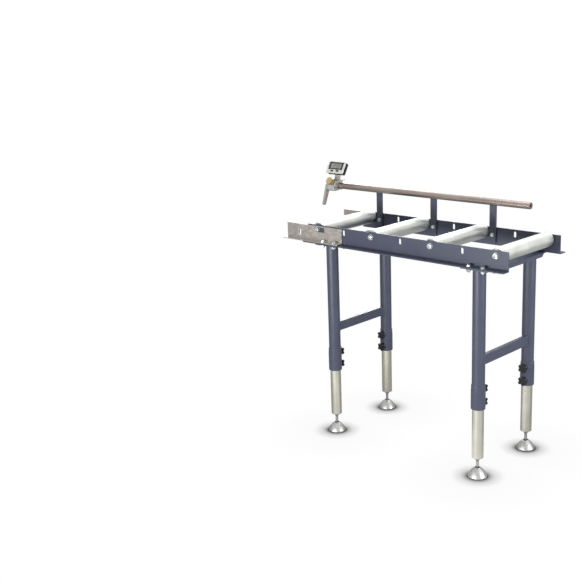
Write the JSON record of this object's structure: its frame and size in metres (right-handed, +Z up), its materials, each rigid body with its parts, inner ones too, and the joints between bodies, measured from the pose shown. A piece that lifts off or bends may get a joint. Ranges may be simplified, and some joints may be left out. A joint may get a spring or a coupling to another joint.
{
  "type": "roller stand",
  "caption": "Roller stand with bolted side rails, free-turning rollers, telescopic clamp legs on levelling feet and a sliding measuring stop with a readout.",
  "frame": {"origin": "middle of the bounding box on the floor", "axes": "+X along the rails away from the machine, -Y the front, +Z up"},
  "size_m": [1.19, 0.44, 1.1372],
  "materials": {
    "painted_steel": "semi-gloss powder coat",
    "zinc_steel": "zinc plated",
    "roller_steel": "bright zinc plated",
    "bright_steel": "polished",
    "bare_sheet": "bare galvanised",
    "ground_steel": "ground",
    "black_plastic": "moulded",
    "white_plastic": "moulded",
    "display_glass": "clear over grey",
    "clear_alloy": "clear anodised",
    "brass_plate": "yellow passivated"
  },
  "bodies": {
    "frame": {"front_rail": "painted_steel", "rear_rail": "painted_steel", "left_head_channel": "painted_steel", "right_head_channel": "painted_steel", "left_brace": "painted_steel", "right_brace": "painted_steel", "stop_post_1": "painted_steel", "stop_post_2": "painted_steel", "stop_post_3": "painted_steel", "axle_1": "bright_steel", "axle_2": "bright_steel", "axle_3": "bright_steel", "axle_4": "bright_steel", "leg_tube_front_left": "painted_steel", "leg_tube_front_right": "painted_steel", "leg_tube_rear_left": "painted_steel", "leg_tube_rear_right": "painted_steel", "stop_bar": "ground_steel", "front_coupling_plate": "bare_sheet", "rear_coupling_plate": "bare_sheet"},
    "turning_roller_1": {"roller_1": "roller_steel", "bearing_1_front": "bright_steel", "bearing_1_rear": "bright_steel"},
    "turning_roller_2": {"roller_2": "roller_steel", "bearing_2_front": "bright_steel", "bearing_2_rear": "bright_steel"},
    "turning_roller_3": {"roller_3": "roller_steel", "bearing_3_front": "bright_steel", "bearing_3_rear": "bright_steel"},
    "turning_roller_4": {"roller_4": "roller_steel", "bearing_4_front": "bright_steel", "bearing_4_rear": "bright_steel"},
    "sliding_leg_front_left": {"inner_leg_front_left": "zinc_steel"},
    "screwed_spindle_front_left": {"spindle_front_left": "bright_steel"},
    "tilting_foot_front_left": {"foot_front_left": "bright_steel"},
    "turning_knob_front_left_lower": {"knob_front_left_lower": "black_plastic"},
    "turning_knob_front_left_upper": {"knob_front_left_upper": "black_plastic"},
    "sliding_leg_front_right": {"inner_leg_front_right": "zinc_steel"},
    "screwed_spindle_front_right": {"spindle_front_right": "bright_steel"},
    "tilting_foot_front_right": {"foot_front_right": "bright_steel"},
    "turning_knob_front_right_lower": {"knob_front_right_lower": "black_plastic"},
    "turning_knob_front_right_upper": {"knob_front_right_upper": "black_plastic"},
    "sliding_leg_rear_left": {"inner_leg_rear_left": "zinc_steel"},
    "screwed_spindle_rear_left": {"spindle_rear_left": "bright_steel"},
    "tilting_foot_rear_left": {"foot_rear_left": "bright_steel"},
    "turning_knob_rear_left_lower": {"knob_rear_left_lower": "black_plastic"},
    "turning_knob_rear_left_upper": {"knob_rear_left_upper": "black_plastic"},
    "sliding_leg_rear_right": {"inner_leg_rear_right": "zinc_steel"},
    "screwed_spindle_rear_right": {"spindle_rear_right": "bright_steel"},
    "tilting_foot_rear_right": {"foot_rear_right": "bright_steel"},
    "turning_knob_rear_right_lower": {"knob_rear_right_lower": "black_plastic"},
    "turning_knob_rear_right_upper": {"knob_rear_right_upper": "black_plastic"},
    "sliding_stop": {"stop_carriage": "clear_alloy", "readout_case": "black_plastic", "readout_panel": "white_plastic", "readout_display": "display_glass"},
    "swinging_arm": {"stop_arm": "bare_sheet"},
    "turning_clamp_knob": {"stop_clamp_knob": "brass_plate"},
    "pressed_button_1": {"readout_button_1": "black_plastic"},
    "pressed_button_2": {"readout_button_2": "black_plastic"}
  },
  "joints": [
    {"name": "roller_1_spin", "type": "hinge", "parent": "frame", "child": "turning_roller_1", "pos_m": [-0.35, 0, 0.9], "axis": [0, 1, 0], "continuous": true},
    {"name": "roller_2_spin", "type": "hinge", "parent": "frame", "child": "turning_roller_2", "pos_m": [-0.05333, 0, 0.9], "axis": [0, 1, 0], "continuous": true},
    {"name": "roller_3_spin", "type": "hinge", "parent": "frame", "child": "turning_roller_3", "pos_m": [0.24333, 0, 0.9], "axis": [0, 1, 0], "continuous": true},
    {"name": "roller_4_spin", "type": "hinge", "parent": "frame", "child": "turning_roller_4", "pos_m": [0.54, 0, 0.9], "axis": [0, 1, 0], "continuous": true},
    {"name": "leg_front_left_extend", "type": "slide", "parent": "frame", "child": "sliding_leg_front_left", "axis": [0, 0, -1], "range_m": [-0.14, 0.13]},
    {"name": "spindle_front_left_level", "type": "slide", "parent": "sliding_leg_front_left", "child": "screwed_spindle_front_left", "axis": [0, 0, -1], "range_m": [-0.02, 0.02]},
    {"name": "foot_front_left_tilt", "type": "hinge", "parent": "screwed_spindle_front_left", "child": "tilting_foot_front_left", "pos_m": [-0.275, -0.176, 0.022], "axis": [1, 0, 0], "range_deg": [-8, 8]},
    {"name": "knob_front_left_lower_turn", "type": "hinge", "parent": "frame", "child": "turning_knob_front_left_lower", "pos_m": [-0.275, -0.176, 0.305], "axis": [0, 1, 0], "range_deg": [0, 360]},
    {"name": "knob_front_left_upper_turn", "type": "hinge", "parent": "frame", "child": "turning_knob_front_left_upper", "pos_m": [-0.275, -0.176, 0.36], "axis": [0, 1, 0], "range_deg": [0, 360]},
    {"name": "leg_front_right_extend", "type": "slide", "parent": "frame", "child": "sliding_leg_front_right", "axis": [0, 0, -1], "range_m": [-0.14, 0.13]},
    {"name": "spindle_front_right_level", "type": "slide", "parent": "sliding_leg_front_right", "child": "screwed_spindle_front_right", "axis": [0, 0, -1], "range_m": [-0.02, 0.02]},
    {"name": "foot_front_right_tilt", "type": "hinge", "parent": "screwed_spindle_front_right", "child": "tilting_foot_front_right", "pos_m": [0.465, -0.176, 0.022], "axis": [1, 0, 0], "range_deg": [-8, 8]},
    {"name": "knob_front_right_lower_turn", "type": "hinge", "parent": "frame", "child": "turning_knob_front_right_lower", "pos_m": [0.465, -0.176, 0.305], "axis": [0, 1, 0], "range_deg": [0, 360]},
    {"name": "knob_front_right_upper_turn", "type": "hinge", "parent": "frame", "child": "turning_knob_front_right_upper", "pos_m": [0.465, -0.176, 0.36], "axis": [0, 1, 0], "range_deg": [0, 360]},
    {"name": "leg_rear_left_extend", "type": "slide", "parent": "frame", "child": "sliding_leg_rear_left", "axis": [0, 0, -1], "range_m": [-0.14, 0.13]},
    {"name": "spindle_rear_left_level", "type": "slide", "parent": "sliding_leg_rear_left", "child": "screwed_spindle_rear_left", "axis": [0, 0, -1], "range_m": [-0.02, 0.02]},
    {"name": "foot_rear_left_tilt", "type": "hinge", "parent": "screwed_spindle_rear_left", "child": "tilting_foot_rear_left", "pos_m": [-0.275, 0.176, 0.022], "axis": [1, 0, 0], "range_deg": [-8, 8]},
    {"name": "knob_rear_left_lower_turn", "type": "hinge", "parent": "frame", "child": "turning_knob_rear_left_lower", "pos_m": [-0.275, 0.176, 0.305], "axis": [0, -1, 0], "range_deg": [0, 360]},
    {"name": "knob_rear_left_upper_turn", "type": "hinge", "parent": "frame", "child": "turning_knob_rear_left_upper", "pos_m": [-0.275, 0.176, 0.36], "axis": [0, -1, 0], "range_deg": [0, 360]},
    {"name": "leg_rear_right_extend", "type": "slide", "parent": "frame", "child": "sliding_leg_rear_right", "axis": [0, 0, -1], "range_m": [-0.14, 0.13]},
    {"name": "spindle_rear_right_level", "type": "slide", "parent": "sliding_leg_rear_right", "child": "screwed_spindle_rear_right", "axis": [0, 0, -1], "range_m": [-0.02, 0.02]},
    {"name": "foot_rear_right_tilt", "type": "hinge", "parent": "screwed_spindle_rear_right", "child": "tilting_foot_rear_right", "pos_m": [0.465, 0.176, 0.022], "axis": [1, 0, 0], "range_deg": [-8, 8]},
    {"name": "knob_rear_right_lower_turn", "type": "hinge", "parent": "frame", "child": "turning_knob_rear_right_lower", "pos_m": [0.465, 0.176, 0.305], "axis": [0, -1, 0], "range_deg": [0, 360]},
    {"name": "knob_rear_right_upper_turn", "type": "hinge", "parent": "frame", "child": "turning_knob_rear_right_upper", "pos_m": [0.465, 0.176, 0.36], "axis": [0, -1, 0], "range_deg": [0, 360]},
    {"name": "stop_slide", "type": "slide", "parent": "frame", "child": "sliding_stop", "axis": [1, 0, 0], "range_m": [0, 0.95]},
    {"name": "arm_swing", "type": "hinge", "parent": "sliding_stop", "child": "swinging_arm", "pos_m": [-0.5853, 0.1457, 1.024], "axis": [-1, 0, 0], "range_deg": [0, 100]},
    {"name": "clamp_knob_turn", "type": "hinge", "parent": "sliding_stop", "child": "turning_clamp_knob", "pos_m": [-0.56, 0.1757, 1.024], "axis": [0, -0.866, 0.5], "range_deg": [0, 360]},
    {"name": "button_1_press", "type": "slide", "parent": "sliding_stop", "child": "pressed_button_1", "axis": [0, 0.866, -0.5], "range_m": [0, 0.0012], "stiffness_N_per_m": 1500, "springref_m": -0.0004},
    {"name": "button_2_press", "type": "slide", "parent": "sliding_stop", "child": "pressed_button_2", "axis": [0, 0.866, -0.5], "range_m": [0, 0.0012], "stiffness_N_per_m": 1500, "springref_m": -0.0004}
  ]
}
